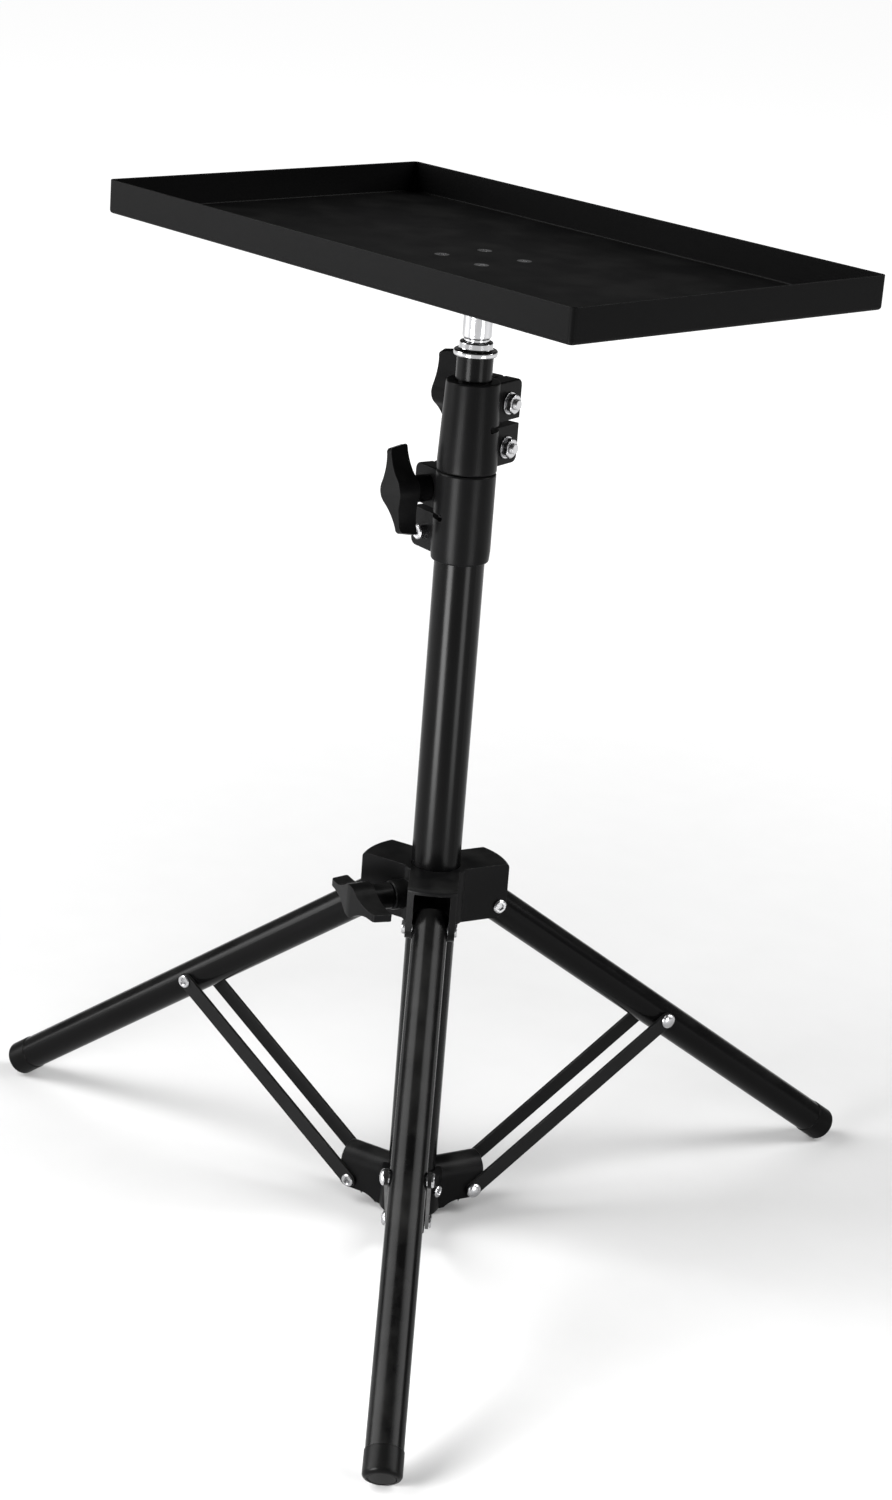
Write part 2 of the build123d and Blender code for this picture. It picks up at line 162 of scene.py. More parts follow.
def addTurned(name, profile, sides):
    # (radius, height) steps spun round Z
    piece = drawLine(name, profile)
    bpy.ops.mesh.spin(steps=sides, angle=math.tau, center=(0, 0, 0), axis=(0, 0, 1))
    endEdit()
    tidyMesh(piece)
    return piece


def arcSteps(across, height, radius, start, end, count):
    # places on an arc, its angles in degrees from +X
    turns = [math.radians(start + (end - start) * step / count) for step in range(count + 1)]
    return [(across + radius * math.cos(turn), height + radius * math.sin(turn)) for turn in turns]


def applied(piece, kind, **values):
    only(piece)
    step = piece.modifiers.new(kind.lower(), kind)
    for key, value in values.items():
        setattr(step, key, value)
    bpy.ops.object.modifier_apply(modifier=step.name)


def soften(piece, width, steps=3, sharper=30):
    # rounds the edges that turn by more than the angle
    applied(piece, "BEVEL", width=width, segments=steps, limit_method="ANGLE",
            angle_limit=math.radians(sharper), miter_outer="MITER_ARC")


def combine(piece, operation, others):
    for other in others:
        applied(piece, "BOOLEAN", operation=operation, solver="EXACT", object=other)
        discard(other)


def carve(piece, *cutters):
    combine(piece, "DIFFERENCE", cutters)


def weld(piece, *others):
    combine(piece, "UNION", others)


def keepInside(piece, limit):
    combine(piece, "INTERSECT", [limit])


def copyOf(piece, name):
    only(piece)
    bpy.ops.object.duplicate(linked=False)
    return fresh(name)


def seat(piece, place):
    only(piece)
    piece.matrix_world = place
    bpy.ops.object.transform_apply(location=True, rotation=True, scale=True)
    return piece


def joined(first, *others):
    only(first)
    for other in others:
        other.select_set(True)
    bpy.ops.object.join()
    return first


def dress(piece, body, look, stoodFor, smooth=35):
    tidyMesh(piece)
    only(piece)
    bpy.ops.object.shade_smooth_by_angle(angle=math.radians(smooth))
    applied(piece, "WEIGHTED_NORMAL", keep_sharp=True)
    piece.data.materials.clear()
    piece.data.materials.append(look)
    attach(piece, body)
    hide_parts(*stoodFor)


# places and sizes read from the frame
def nodeBox(names, place=Matrix.Identity(4)):
    # lowest and highest corner in the axes of the piece
    back = place.inverted()
    points = [back @ vert.co for name in names for vert in nodes[name].data.vertices]
    low = Vector([min(point[axis] for point in points) for axis in range(3)])
    high = Vector([max(point[axis] for point in points) for axis in range(3)])
    return low, high


def jointPlace(joint):
    # Y along the joint's axis, Z up
    along = Vector(joints[joint]["axis"]).normalized()
    up = Vector((0, 0, 1))
    place = Matrix((along.cross(up), along, up)).transposed().to_4x4()
    place.translation = Vector(joints[joint]["pos_m"])
    return place


def onAxis(joint):
    # same axes, but standing on the column's axis at the floor
    place = jointPlace(joint)
    place.translation = Vector()
    return place


zToY = Matrix.Rotation(math.radians(-90), 4, "X")
xToY = Matrix.Rotation(math.radians(-90), 4, "Z")
foldJoints = {"front": "leg_fold", "right": "brace_fold_right", "left": "brace_fold_left"}
legTurn = {}
for leg, joint in foldJoints.items():
    pivot = Vector(joints[joint]["pos_m"])
    legTurn[leg] = Matrix.Rotation(math.atan2(pivot.y, pivot.x), 4, "Z")
pivotReach = pivot.xy.length
hubPivot = pivot.z
collarPivot = joints["collar_pivot"]["pos_m"][2]
kneePivot = Vector(joints["leg_pivot_front"]["pos_m"])
kneeReach = kneePivot.xy.length
lean = math.atan2(kneeReach - pivotReach, collarPivot - kneePivot.z)
legPlace = Matrix.Translation((pivotReach, 0, collarPivot)) @ Matrix.Rotation(math.pi - lean, 4, "Y")


# shader groups shared by the materials
wearAndHighlightStyle = {"width": 0.5 * mm, "amount": 0.5, "breakup": 220.0, "samples": 6, "detail": 4,
             "facing": (0.99, 0.8), "patches": (0.42, 0.68)}
grainStyle = {"fine": 1500.0, "fineDetail": 2, "broad": 14.0, "broadDetail": 5, "cloud": (0.3, 0.7)}
dustStyle = {"amount": 0.3, "scale": 45, "detail": 6, "upward": (0.35, 1), "patches": (0.4, 0.7)}


def newGroup(name, inputs, outputs):
    group = bpy.data.node_groups.new(name, "ShaderNodeTree")
    for label, start in inputs.items():
        socket = group.interface.new_socket(name=label, in_out="INPUT", socket_type="NodeSocketFloat")
        socket.default_value = start
    for label in outputs:
        group.interface.new_socket(name=label, in_out="OUTPUT", socket_type="NodeSocketFloat")
    return group, group.nodes.new("NodeGroupInput"), group.nodes.new("NodeGroupOutput")


def addNode(tree, kind, **values):
    node = tree.nodes.new(kind)
    for key, value in values.items():
        setattr(node, key, value)
    return node


def setInputs(node, values):
    for label, value in values.items():
        node.inputs[label].default_value = value
    return node


def ranged(tree, value, fromLow, fromHigh, toLow=0, toHigh=1):
    node = setInputs(addNode(tree, "ShaderNodeMapRange"),
                     {"From Min": fromLow, "From Max": fromHigh, "To Min": toLow, "To Max": toHigh})
    tree.links.new(value, node.inputs["Value"])
    return node.outputs["Result"]


def addMix(tree, **colours):
    node = addNode(tree, "ShaderNodeMix", data_type="RGBA")
    return setInputs(node, {label: (*colour, 1) for label, colour in colours.items()})


def multiplied(tree, first, second):
    node = addNode(tree, "ShaderNodeMath", operation="MULTIPLY")
    tree.links.new(first, node.inputs[0])
    tree.links.new(second, node.inputs[1])
    return node.outputs[0]


# a lighter colour on rims and corners: partly real wear, partly a painted highlight along the edges
def makeEdgeWearAndHighlight():
    style = wearAndHighlightStyle
    group, given, out = newGroup("edge wear and painted highlight", {"Width": style["width"], "Amount": style["amount"],
                                               "Breakup": style["breakup"]}, ["Mask"])
    link = group.links.new
    where = addNode(group, "ShaderNodeTexCoord")
    rounded = addNode(group, "ShaderNodeBevel", samples=style["samples"])
    surface = addNode(group, "ShaderNodeNewGeometry")
    facing = addNode(group, "ShaderNodeVectorMath", operation="DOT_PRODUCT")
    patches = setInputs(addNode(group, "ShaderNodeTexNoise"), {"Detail": style["detail"]})
    link(given.outputs["Width"], rounded.inputs["Radius"])
    link(rounded.outputs["Normal"], facing.inputs[0])
    link(surface.outputs["Normal"], facing.inputs[1])
    link(where.outputs["Object"], patches.inputs["Vector"])
    link(given.outputs["Breakup"], patches.inputs["Scale"])
    edge = ranged(group, facing.outputs["Value"], *style["facing"])
    broken = ranged(group, patches.outputs["Fac"], *style["patches"])
    link(multiplied(group, multiplied(group, edge, broken), given.outputs["Amount"]), out.inputs["Mask"])
    return group


def makeSurfaceGrain():
    style = grainStyle
    group, given, out = newGroup("surface grain", {"Fine": style["fine"], "Broad": style["broad"]},
                                 ["Height", "Cloud"])
    link = group.links.new
    where = addNode(group, "ShaderNodeTexCoord")
    for scale, detail, result in (("Fine", "fineDetail", "Height"), ("Broad", "broadDetail", "Cloud")):
        noise = setInputs(addNode(group, "ShaderNodeTexNoise"), {"Detail": style[detail]})
        link(where.outputs["Object"], noise.inputs["Vector"])
        link(given.outputs[scale], noise.inputs["Scale"])
        link(noise.outputs["Fac"], out.inputs[result])
    return group


def makeDustFilm():
    style = dustStyle
    group, given, out = newGroup("dust film", {"Amount": style["amount"]}, ["Mask"])
    link = group.links.new
    where = addNode(group, "ShaderNodeTexCoord")
    parts = addNode(group, "ShaderNodeSeparateXYZ")
    specks = setInputs(addNode(group, "ShaderNodeTexNoise"),
                       {"Scale": style["scale"], "Detail": style["detail"]})
    link(where.outputs["Normal"], parts.inputs[0])
    link(where.outputs["Object"], specks.inputs["Vector"])
    upward = ranged(group, parts.outputs["Z"], *style["upward"])
    patchy = ranged(group, specks.outputs["Fac"], *style["patches"])
    link(multiplied(group, multiplied(group, upward, patchy), given.outputs["Amount"]), out.inputs["Mask"])
    return group


edgeWearAndHighlight, surfaceGrain, dustFilm = makeEdgeWearAndHighlight(), makeSurfaceGrain(), makeDustFilm()


def makeLook(name, style):
    look = bpy.data.materials.new(name)
    look.use_nodes = True
    tree = look.node_tree
    link = tree.links.new
    shader = setInputs(tree.nodes["Principled BSDF"],
                       {"Specular IOR Level": style["specular"], "Metallic": style["metal"]})
    grain = setInputs(addNode(tree, "ShaderNodeGroup", node_tree=surfaceGrain),
                      {"Fine": style["fine"], "Broad": style["broad"]})
    wearAndHighlight = setInputs(addNode(tree, "ShaderNodeGroup", node_tree=edgeWearAndHighlight),
                     {"Width": style["edgeWidth"], "Amount": style["edgeAmount"]})
    dust = setInputs(addNode(tree, "ShaderNodeGroup", node_tree=dustFilm), {"Amount": style["dust"]})
    # two tones under edges lightened by wear and by a painted highlight, under dust
    tones = addMix(tree, A=style["dark"], B=style["light"])
    wornAndLit = addMix(tree, B=style["edge"])
    dusty = addMix(tree, B=style["dustColour"])
    link(grain.outputs["Cloud"], tones.inputs["Factor"])
    link(tones.outputs["Result"], wornAndLit.inputs["A"])
    link(wearAndHighlight.outputs["Mask"], wornAndLit.inputs["Factor"])
    link(wornAndLit.outputs["Result"], dusty.inputs["A"])
    link(dust.outputs["Mask"], dusty.inputs["Factor"])
    link(dusty.outputs["Result"], shader.inputs["Base Color"])
    rough = ranged(tree, grain.outputs["Cloud"], *grainStyle["cloud"], *style["rough"])
    link(rough, shader.inputs["Roughness"])
    bump = setInputs(addNode(tree, "ShaderNodeBump"),
                     {"Strength": style["bump"], "Distance": style["bumpDepth"]})
    link(grain.outputs["Height"], bump.inputs["Height"])
    link(bump.outputs["Normal"], shader.inputs["Normal"])
    return look


def grey(value, blue=1.0):
    return (value, value, value * blue)


paleDust = grey(0.16, 0.96)
# each look's edge colour lightens its rims: partly wear, partly a painted highlight
tubePaint = makeLook("satin black tube paint", {
    "dark": grey(0.001), "light": grey(0.002, 1.05), "edge": grey(0.05), "dustColour": paleDust,
    "metal": 0.0, "specular": 0.075, "rough": (0.215, 0.245), "fine": 900, "broad": 18,
    "bump": 0.02, "bumpDepth": 0.1 * mm, "edgeWidth": 0.5 * mm, "edgeAmount": 0.5, "dust": 0.06})
bracePaint = makeLook("brace bar paint", {
    "dark": grey(0.003), "light": grey(0.005, 1.04), "edge": grey(0.07), "dustColour": paleDust,
    "metal": 0.0, "specular": 0.11, "rough": (0.32, 0.42), "fine": 1100, "broad": 30,
    "bump": 0.08, "bumpDepth": 0.1 * mm, "edgeWidth": 0.4 * mm, "edgeAmount": 0.6, "dust": 0.08})
clampPlastic = makeLook("moulded black nylon", {
    "dark": grey(0.0024), "light": grey(0.004, 1.05), "edge": grey(0.075), "dustColour": paleDust,
    "metal": 0.0, "specular": 0.042, "rough": (0.28, 0.35), "fine": 2400, "broad": 40,
    "bump": 0.18, "bumpDepth": 0.12 * mm, "edgeWidth": 0.6 * mm, "edgeAmount": 0.45, "dust": 0.06})
trayCoat = makeLook("tray powder coat", {
    "dark": grey(0.0028), "light": grey(0.004, 1.03), "edge": grey(0.08), "dustColour": paleDust,
    "metal": 0.0, "specular": 0.025, "rough": (0.32, 0.38), "fine": 1700, "broad": 9,
    "bump": 0.22, "bumpDepth": 0.12 * mm, "edgeWidth": 0.5 * mm, "edgeAmount": 0.5, "dust": 0.02})
studChrome = makeLook("stud chrome", {
    "dark": grey(0.34, 1.02), "light": grey(0.48, 1.02), "edge": grey(0.62), "dustColour": grey(0.3),
    "metal": 1.0, "specular": 0.5, "rough": (0.07, 0.15), "fine": 500, "broad": 90,
    "bump": 0.02, "bumpDepth": 0.1 * mm, "edgeWidth": 0.4 * mm, "edgeAmount": 0.3, "dust": 0.08})
zincPlate = makeLook("zinc plated steel", {
    "dark": grey(0.36, 1.03), "light": grey(0.54, 1.01), "edge": grey(0.66), "dustColour": grey(0.25),
    "metal": 1.0, "specular": 0.5, "rough": (0.2, 0.34), "fine": 1300, "broad": 160,
    "bump": 0.06, "bumpDepth": 0.1 * mm, "edgeWidth": 0.3 * mm, "edgeAmount": 0.4, "dust": 0.05})
footRubber = makeLook("foot rubber", {
    "dark": grey(0.0014), "light": grey(0.0024), "edge": grey(0.02), "dustColour": paleDust,
    "metal": 0.0, "specular": 0.06, "rough": (0.28, 0.34), "fine": 1900, "broad": 60,
    "bump": 0.25, "bumpDepth": 0.15 * mm, "edgeWidth": 0.8 * mm, "edgeAmount": 0.5, "dust": 0.01})
print("stand: materials made")


# tray: one folded sheet with countersunk holes over its flange
trayStyle = {"sheet": 1.2 * mm, "corner": 3 * mm, "bend": 2 * mm, "rim": 0.4 * mm, "rimTurn": 0.8,
             "screwHead": 4 * mm, "headDepth": 2 * mm, "screwShank": 2 * mm, "fit": 0.05 * mm,
             "crossWidth": 1 * mm, "crossSpan": 4.6 * mm, "crossDepth": 1.3 * mm}
trayNodes = ["tray_base", "tray_long_walls", "tray_short_walls"]
screwLow, screwHigh = nodeBox(["tray_screws"])


def screwProfile(extra=0.0):
    shank = trayStyle["screwShank"] + extra
    head = trayStyle["screwHead"] + extra
    neck = screwHigh.z - trayStyle["headDepth"]
    return [(0, screwLow.z), (shank, screwLow.z), (shank, neck), (head, screwHigh.z), (0, screwHigh.z)]


def screwSpots():
    # the heads' centres, one in each corner of the screws' box
    inset = trayStyle["screwHead"]
    return [Matrix.Translation((x, y, 0)) for x in (screwLow.x + inset, screwHigh.x - inset)
            for y in (screwLow.y + inset, screwHigh.y - inset)]


def buildTraySheet():
    low, high = nodeBox(trayNodes)
    tray = addBlock("tray_sheet", low, high)
    startEdit(tray)
    pick(tray, "FACE", lambda face: face.normal.z > mostly)
    bpy.ops.mesh.delete(type="FACE")
    endEdit()
    roundEdges(tray, lambda edge: runsAlong(edge, 2), trayStyle["corner"], steps=8)
    roundEdges(tray, lambda edge: close(middle(edge).z, low.z), trayStyle["bend"], steps=5)
    applied(tray, "SOLIDIFY", thickness=trayStyle["sheet"], offset=-1, use_even_offset=True)
    roundEdges(tray, lambda edge: close(middle(edge).z, high.z)
               and edge.calc_face_angle(0) > trayStyle["rimTurn"], trayStyle["rim"], steps=3)
    hole = screwProfile(trayStyle["fit"])
    hole[-1:] = [(hole[-2][0], screwHigh.z + mm), (0, screwHigh.z + mm)]  # carried on past the sheet
    carve(tray, *[seat(addTurned("hole", hole, facets["hole"]), spot) for spot in screwSpots()])
    dress(tray, "tray", trayCoat, trayNodes)


def buildTrayScrews():
    screw = addTurned("tray_screw_set", screwProfile(), facets["hole"])
    half, span = trayStyle["crossWidth"] / 2, trayStyle["crossSpan"] / 2
    floor = screwHigh.z - trayStyle["crossDepth"]
    for across, along in ((half, span), (span, half)):
        carve(screw, addBlock("slot", (-across, -along, floor), (across, along, screwHigh.z + mm)))
    first, *others = screwSpots()
    screws = [seat(copyOf(screw, "tray_screw"), spot) for spot in others]
    seat(screw, first)
    dress(joined(screw, *screws), "tray", zincPlate, ["tray_screws"])


buildTraySheet()
buildTrayScrews()
print("stand: tray folded")


# chrome ring and stud on the column's top
studStyle = {"disc": 3.4 * mm, "discEdge": 1 * mm, "neck": 9.2 * mm, "bore": 7.05 * mm, "groove": 7 * mm,
             "grooveHeight": 2 * mm, "post": 8 * mm, "postGap": 0.3 * mm, "postEdge": 1 * mm,
             "thread": 3.1 * mm, "edge": 0.3 * mm}
ringLow, ringHigh = nodeBox(["top_ring"])


def buildTopRing():
    low, high = ringLow.z, ringHigh.z
    rim, disc = ringHigh.x, low + studStyle["disc"]
    neck, bore = studStyle["neck"], studStyle["bore"]
    ring = addTurned("top_ring_turned", [(bore, low), (rim, low), (rim, disc), (neck, disc), (neck, high),
                                         (bore, high), (bore, low)], facets["barrel"])
    soften(ring, studStyle["discEdge"], steps=4)
    dress(ring, "upper_section", studChrome, ["top_ring"])


def buildTopStud():
    low, high = nodeBox(["spigot"])
    groove, post, thread = studStyle["groove"], studStyle["post"], studStyle["thread"]
    tubeTop, edge = ringLow.z, studStyle["postEdge"]
    shoulder = ringHigh.z + studStyle["grooveHeight"]
    top = nodeBox(["tray_flange"])[0].z - studStyle["postGap"]
    stud = addTurned("top_stud_turned", [
        (0, low.z), (high.x, low.z), (high.x, tubeTop), (groove, tubeTop), (groove, shoulder - edge / 2),
        (post - edge / 2, shoulder), (post, shoulder + edge), (post, top - edge), (post - edge, top),
        (thread, top), (thread, high.z), (0, high.z)], facets["barrel"])
    soften(stud, studStyle["edge"])
    dress(stud, "upper_section", studChrome, ["spigot"])


buildTopRing()
buildTopStud()
print("stand: chrome stud turned")


# split clamps with their bolts, nuts and washers
clampStyle = {"radius": 16.5 * mm, "foot": 16 * mm, "footHeight": 6 * mm, "narrowTop": 14.8 * mm,
              "earMargin": 1.5 * mm, "earCorner": 4 * mm, "split": 3 * mm, "slit": 3.2 * mm,
              "slitStart": -1 * mm, "relief": 2 * mm, "bodyEdge": 1.1 * mm, "earEdge": 1 * mm,
              "fit": 0.05 * mm, "slide": 0.3 * mm}
boltStyle = {"radius": 3 * mm, "root": 2.55 * mm, "pitch": 1 * mm, "ridges": 7, "head": 4.2 * mm,
             "headEdge": 0.6 * mm, "socket": 2.3 * mm, "socketDepth": 2.6 * mm, "nutFlats": 10 * mm,
             "nutEdge": 0.9 * mm, "nutCrown": 5.5 * mm, "washer": 6.2 * mm, "washerHeight": 1 * mm,
             "washerEdge": 0.25 * mm}


def threadSteps(start, end):
    # ridges of a thread as a run of (radius, height) steps
    count = round((end - start) / boltStyle["pitch"])
    steps = []
    for turn in range(count):
        steps.append((boltStyle["root"], start + turn * boltStyle["pitch"]))
        steps.append((boltStyle["radius"], start + (turn + 0.5) * boltStyle["pitch"]))
    return steps


def clampPlan(name):
    # places that a clamp shares with its bolt and nuts, in the clamp's own axes
    knobSpot = joints[name + "_knob_turn"]["pos_m"]
    place = onAxis(name + "_knob_turn")
    boltLow, boltHigh = nodeBox([name + "_clamp_bolt"], place)
    nutLow, nutHigh = nodeBox([name + "_clamp_nuts"], place)
    return {"place": place, "boltX": (place.inverted() @ Vector(knobSpot)).x, "knobZ": knobSpot[2],
            "boltZ": (boltLow.z + boltHigh.z) / 2, "boltStart": boltLow.y, "boltEnd": boltHigh.y,
            "nutStart": nutLow.y, "half": -nutHigh.y}


def buildClampBody(name, body, plan, outerTube, innerTube, footRadius, topRadius):
    style, place, half = clampStyle, plan["place"], plan["half"]
    low, high = nodeBox([name + "_clamp"], place)
    centre = (low.z + high.z) / 2
    clamp = addTurned(name + "_clamp_split", [
        (0, low.z), (footRadius, low.z), (style["radius"], low.z + style["footHeight"]),
        (topRadius, high.z), (0, high.z)], facets["barrel"])
    soften(clamp, style["bodyEdge"], steps=4, sharper=40)
    margin = style["earMargin"]
    ear = addBlock("ear", (0, -half, low.z + margin), (high.x, half, high.z - margin))
    roundEdges(ear, lambda edge: runsAlong(edge, 1) and close(middle(edge).x, high.x),
               style["earCorner"], steps=6)
    soften(ear, style["earEdge"])
    weld(clamp, ear)
    outerBore = nodeBox([outerTube])[1].x + style["fit"]
    innerBore = nodeBox([innerTube])[1].x + style["slide"]
    split, slit, slitX = style["split"] / 2, style["slit"] / 2, style["slitStart"]
    carve(clamp,
          addRod("bore", outerBore, (0, 0, low.z - over), (0, 0, centre), facets["barrel"]),
          addRod("bore", innerBore, (0, 0, centre - over), (0, 0, high.z + over), facets["barrel"]),
          addBlock("split", (0, -split, low.z - over), (high.x + over, split, high.z + over)),
          addBlock("slit", (slitX, low.y - over, centre - slit),
                   (high.x + over, high.y + over, centre + slit)),
          addRod("relief", style["relief"], (slitX, low.y - over, centre), (slitX, high.y + over, centre),
                 facets["relief"]))
    boltX, hole = plan["boltX"], boltStyle["radius"] + style["fit"]
    for height in (plan["knobZ"], plan["boltZ"]):
        carve(clamp, addRod("hole", hole, (boltX, -half - over, height), (boltX, half + over, height),
                            facets["hole"]))
    seat(clamp, place)
    dress(clamp, body, clampPlastic, [name + "_clamp"])


def buildClampBolt(name, body, plan):
    style, half, start, end = boltStyle, plan["half"], plan["boltStart"], plan["boltEnd"]
    radius, head, edge = style["radius"], style["head"], style["headEdge"]
    bolt = addTurned(name + "_clamp_bolt_turned", [
        (0, start), *threadSteps(start, -half), (radius, -half), (radius, half), (head, half),
        (head, end - edge), (head - edge, end), (0, end)], facets["pin"])
    carve(bolt, addRod("socket", style["socket"], (0, 0, end - style["socketDepth"]), (0, 0, end + over),
                       facets["hex"]))
    seat(bolt, plan["place"] @ Matrix.Translation((plan["boltX"], 0, plan["boltZ"])) @ zToY)
    dress(bolt, body, zincPlate, [name + "_clamp_bolt"])


def buildClampNuts(name, body, plan):
    # a hexagon kept inside a round crown, on a washer
    style, half, start = boltStyle, plan["half"], plan["nutStart"]
    washerTop = -half - style["washerHeight"]
    corner = style["nutFlats"] / 2 / math.cos(math.pi / facets["hex"])
    nut = addRod(name + "_clamp_nut_pair", corner, (0, 0, start), (0, 0, washerTop), facets["hex"])
    crown = addRod("crown", style["nutCrown"], (0, 0, start), (0, 0, washerTop), facets["boss"])
    soften(crown, style["nutEdge"])
    keepInside(nut, crown)
    bore, rim = style["radius"] + clampStyle["fit"], style["washer"]
    carve(nut, addRod("bore", bore, (0, 0, start - over), (0, 0, over), facets["hole"]))
    washer = addTurned("washer", [(bore, -half), (rim, -half), (rim, washerTop), (bore, washerTop),
                                  (bore, -half)], facets["pin"])
    soften(washer, style["washerEdge"], steps=2)
    joined(nut, washer)
    second = copyOf(nut, "nut")
    for part, height in ((nut, plan["knobZ"]), (second, plan["boltZ"])):
        seat(part, plan["place"] @ Matrix.Translation((plan["boltX"], 0, height)) @ zToY)
    dress(joined(nut, second), body, zincPlate, [name + "_clamp_nuts"])


for name, body, outerTube, innerTube, foot, top in (
        ("lower", "column", "lower_tube", "middle_tube", "foot", "radius"),
        ("upper", "middle_section", "middle_tube", "upper_tube", "radius", "narrowTop")):
    plan = clampPlan(name)
    buildClampBody(name, body, plan, outerTube, innerTube, clampStyle[foot], clampStyle[top])
    buildClampBolt(name, body, plan)
    buildClampNuts(name, body, plan)
print("stand: clamps cut and bolted")


# wing knobs: a round hub that flares into thin wings under a low crown
knobStyle = {"tilts": {"lower": 17.5, "upper": -15, "collar": 88}, "tipDepth": 11 * mm, "crown": 2.4 * mm,
             "crownHalf": 2 * mm, "tipHalf": 2.2 * mm, "tipSlant": 2 * mm, "tipRadius": 1.5 * mm,
             "flare": 26 * mm, "neck": 7.5 * mm, "edge": 0.7 * mm, "neckOverlap": 1.5 * mm}


def knobPlace(name):
    tilt = knobStyle["tilts"][name]
    return jointPlace(name + "_knob_turn") @ Matrix.Rotation(math.radians(tilt - 90), 4, "Y")


def buildWings(name, node):
    # the plan is drawn from one quarter and pulled along the axis, then cut for the crown and the tips
    style = knobStyle
    tip, top, hub = nodeBox([node], knobPlace(name))[1]
    start = top - style["tipDepth"] - style["crown"]
    flare = style["flare"]
    flareZ = style["tipHalf"] + flare
    flareX = math.sqrt((hub + flare) ** 2 - flareZ ** 2)
    touch = math.degrees(math.atan2(flareZ, flareX))
    quarter = [(tip, style["tipHalf"]), *arcSteps(flareX, flareZ, flare, -90, touch - 180, count=10),
               *arcSteps(0, 0, hub, touch, 90, count=8)[1:]]
    half = quarter + [(-across, height) for across, height in quarter[-2::-1]]
    wings = drawLine("wings", half + [(-across, -height) for across, height in half])
    bpy.ops.mesh.edge_face_add()
    bpy.ops.transform.translate(value=(0, start, 0))
    bpy.ops.mesh.extrude_region_move(TRANSFORM_OT_translate={"value": (0, top - start, 0)})
    tipTop = Vector((tip - style["tipSlant"], start + style["tipDepth"], 0))
    crownRun = tipTop.x - style["crownHalf"]
    for side in (1, -1):
        corner = (side * tipTop.x, tipTop.y, 0)
        crownNormal = Vector((side * style["crown"], crownRun, 0)).normalized()
        tipNormal = Vector((side * style["tipDepth"], style["tipSlant"], 0)).normalized()
        for normal in (crownNormal, tipNormal):
            bpy.ops.mesh.select_all(action="SELECT")
            bpy.ops.mesh.bisect(plane_co=corner, plane_no=normal, use_fill=True, clear_outer=True,
                                threshold=weldGap)
    endEdit()
    tidyMesh(wings)
    nearTip = tip - 2 * style["tipSlant"]
    roundEdges(wings, lambda edge: runsAlong(edge, 2) and abs(middle(edge).x) > nearTip,
               style["tipRadius"], steps=4)
    soften(wings, style["edge"], sharper=25)
    return wings


def buildKnob(name, body, node, studNode, wings):
    place, radius = knobPlace(name), knobStyle["neck"]
    low, high = nodeBox([node], place)
    knob = copyOf(wings, name + "_wing_knob")
    neckTop = high.y - knobStyle["tipDepth"] - knobStyle["crown"] + knobStyle["neckOverlap"]
    neck = addTurned("neck", [(0, low.y), (radius, low.y), (radius, neckTop), (0, neckTop)], facets["pin"])
    soften(neck, knobStyle["edge"])
    weld(knob, seat(neck, zToY))
    studEnd, hole = nodeBox([studNode], place)[1].y, boltStyle["radius"] + clampStyle["fit"]
    carve(knob, addRod("hole", hole, (0, low.y - mm, 0), (0, studEnd, 0), facets["hole"]))
    seat(knob, place)
    dress(knob, body, clampPlastic, [node], smooth=28)


def buildKnobStud(name, body, node):
    place, radius = knobPlace(name), boltStyle["radius"]
    start, end = [corner.y for corner in nodeBox([node], place)]
    ridges = start + boltStyle["ridges"] * boltStyle["pitch"]
    stud = addTurned(name + "_knob_stud_turned", [
        (0, start), *threadSteps(start, ridges), (radius, ridges), (radius, end), (0, end)], facets["pin"])
    seat(stud, place @ zToY)
    dress(stud, body, zincPlate, [node])


clampWings = buildWings("lower", "lower_clamp_knob")
collarWings = buildWings("collar", "collar_knob")
for name, body, node, studNode, wings in (
        ("lower", "lower_knob", "lower_clamp_knob", "lower_clamp_stud", clampWings),
        ("upper", "upper_knob", "upper_clamp_knob", "upper_clamp_stud", clampWings),
        ("collar", "collar_lock", "collar_knob", "collar_knob_stud", collarWings)):
    buildKnob(name, body, node, studNode, wings)
    buildKnobStud(name, body, studNode)
discard(clampWings)
discard(collarWings)
print("stand: wing knobs fitted")


# sliding collar with its hollow lugs
collarStyle = {"barrel": 18.5 * mm, "wall": 3.7 * mm, "roof": 3.5 * mm, "toe": 7 * mm, "nose": 2.5 * mm,
               "edge": 0.9 * mm, "boss": 8.5 * mm, "bossReach": 28 * mm, "slide": 0.3 * mm,
               "fit": 0.05 * mm, "flatTurn": 0.5, "pin": 3 * mm, "screwHead": 4 * mm,
               "headEdge": 0.8 * mm, "tail": 3.8 * mm, "tailEdge": 0.35 * mm, "tailHollow": 2 * mm,
               "tailDepth": 1.2 * mm, "socket": 2.3 * mm, "socketDepth": 1.4 * mm}
lugHalf = nodeBox(["leg_tube_front"], legTurn["front"])[1].y + collarStyle["slide"] + collarStyle["wall"]


def buildLug(low, high):
    # a slice of a turned ring, so its end follows the column
    style, half, end = collarStyle, lugHalf, high.x
    toe, nose = style["toe"], style["nose"]
    root = math.sqrt(style["barrel"] ** 2 - half ** 2) - style["edge"]
    lug = addTurned("lug", [
        (root, low.z), *arcSteps(end - toe, low.z + toe, toe, -90, 0, count=8),
        *arcSteps(end - nose, high.z - nose, nose, 0, 90, count=5), (root, high.z), (root, low.z)],
        facets["lug"])
    keepInside(lug, addBlock("slice", (root, -half, low.z - over), (end + over, half, high.z + over)))
    startEdit(lug)
    bpy.ops.mesh.select_all(action="SELECT")
    bpy.ops.mesh.dissolve_limited(angle_limit=math.radians(style["flatTurn"]))
    endEdit()
    soften(lug, style["edge"])
    hollow = half - style["wall"]
    carve(lug,
          addBlock("pocket", (style["barrel"] - over, -hollow, low.z - over),
                   (end + over, hollow, high.z - style["roof"])),
          addRod("hole", style["pin"] + style["fit"], (pivotReach, -half - over, collarPivot),
                 (pivotReach, half + over, collarPivot), facets["hole"]))
    return lug


